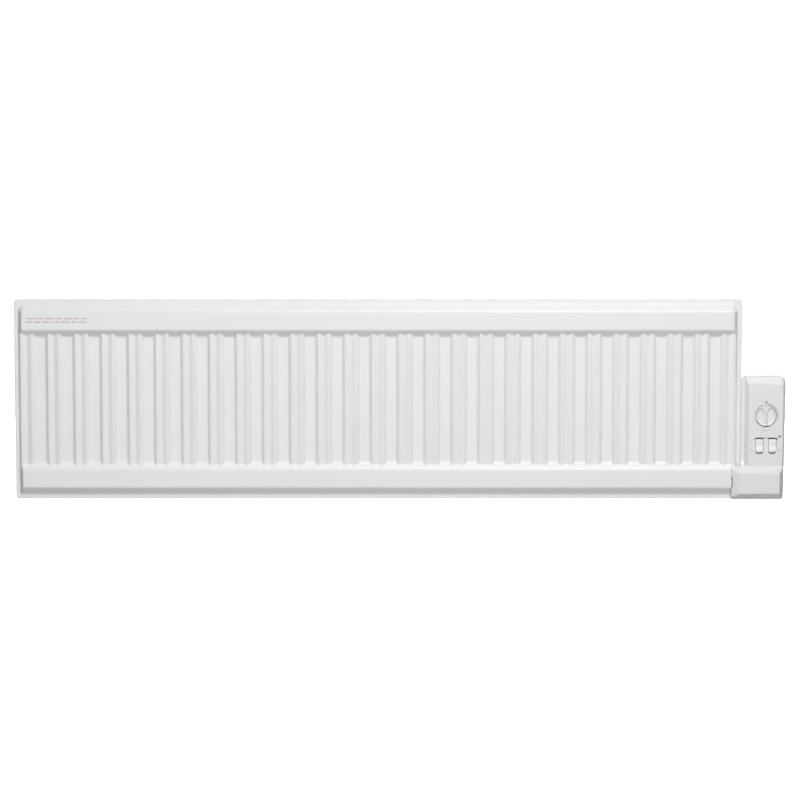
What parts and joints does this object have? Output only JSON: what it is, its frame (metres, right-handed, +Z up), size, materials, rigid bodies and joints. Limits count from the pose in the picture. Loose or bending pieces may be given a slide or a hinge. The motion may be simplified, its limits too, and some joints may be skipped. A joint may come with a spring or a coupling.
{
  "type": "baseboard heater",
  "caption": "Low wall-hung oil-filled electric panel radiator with ribbed steel front and a moulded control box at the right end",
  "frame": {"origin": "centre of the bounding box at its bottom", "axes": "+X along the panel towards the control box, -Y out of the front, +Y towards the wall, +Z up"},
  "size_m": [1.1606, 0.068, 0.3005],
  "materials": {
    "painted_panel": "white powder coat with a fine orange-peel, satin",
    "white_moulding": "white moulded ABS, fine spark-eroded texture",
    "white_gloss_key": "white polished rocker keys",
    "dark_moulding": "dark grey moulding",
    "cream_nylon": "natural nylon moulding",
    "zinc_steel": "zinc-plated steel sheet",
    "brass": "machined brass, dull",
    "copper": "drawn copper",
    "element_sheath": "heat-darkened steel sheath",
    "black_rubber": "black rubber",
    "lens_red": "dark tinted lens, unlit",
    "lamp_glass": "clear lamp glass",
    "cable_sheath": "white PVC cable sheath",
    "lead_brown": "brown insulation",
    "lead_blue": "blue insulation",
    "lead_green": "green and yellow insulation"
  },
  "bodies": {
    "heater": {"front_plate": "painted_panel", "rear_plate": "painted_panel", "element_boss": "painted_panel", "hanger_lug_upper_left": "painted_panel", "hanger_lug_lower_left": "painted_panel", "hanger_lug_upper_right": "painted_panel", "hanger_lug_lower_right": "painted_panel", "heating_element": "element_sheath", "element_gasket": "black_rubber", "element_head": "brass", "oil_fill_plug": "zinc_steel", "fill_plug_seal": "copper", "control_box_cover": "white_moulding", "control_box_base": "white_moulding", "box_mounting_plate": "zinc_steel", "thermostat_body": "cream_nylon", "thermal_cutout": "dark_moulding", "sensing_bulb": "copper", "capillary_tube": "copper", "switch_body_left": "dark_moulding", "switch_body_right": "dark_moulding", "indicator_lens": "lens_red", "indicator_lamp": "lamp_glass", "limit_tab": "white_moulding", "terminal_block": "cream_nylon", "strain_relief": "black_rubber", "supply_cable": "cable_sheath", "lead_live_in": "lead_brown", "lead_neutral_in": "lead_blue", "lead_earth": "lead_green", "lead_switched": "lead_brown", "lead_element_live": "lead_brown", "lead_element_neutral": "lead_blue", "earth_screw": "brass", "base_screw_upper": "zinc_steel", "base_screw_lower": "zinc_steel", "cover_screw_left": "zinc_steel", "cover_screw_right": "zinc_steel", "wall_bracket_left": "zinc_steel", "bracket_saddle_left": "cream_nylon", "distance_piece_left": "cream_nylon", "wall_bracket_right": "zinc_steel", "bracket_saddle_right": "cream_nylon", "distance_piece_right": "cream_nylon"},
    "knob": {"thermostat_knob": "white_moulding", "thermostat_shaft": "zinc_steel"},
    "key_left": {"rocker_left": "white_gloss_key"},
    "key_right": {"rocker_right": "white_gloss_key"},
    "latch_left": {"safety_latch_left": "dark_moulding"},
    "latch_right": {"safety_latch_right": "dark_moulding"}
  },
  "joints": [
    {"name": "knob_turn", "type": "hinge", "parent": "heater", "child": "knob", "pos_m": [0.5508, -0.024, 0.1263], "axis": [0, 1, 0], "range_deg": [0, 114]},
    {"name": "key_left_tip", "type": "hinge", "parent": "heater", "child": "key_left", "pos_m": [0.541, -0.0183, 0.0802], "axis": [1, 0, 0], "range_deg": [0, 16]},
    {"name": "key_right_tip", "type": "hinge", "parent": "heater", "child": "key_right", "pos_m": [0.5604, -0.0183, 0.0802], "axis": [1, 0, 0], "range_deg": [0, 16]},
    {"name": "latch_left_slide", "type": "slide", "parent": "heater", "child": "latch_left", "axis": [0, 0, 1], "range_m": [0, 0.009]},
    {"name": "latch_right_slide", "type": "slide", "parent": "heater", "child": "latch_right", "axis": [0, 0, 1], "range_m": [0, 0.009]}
  ]
}
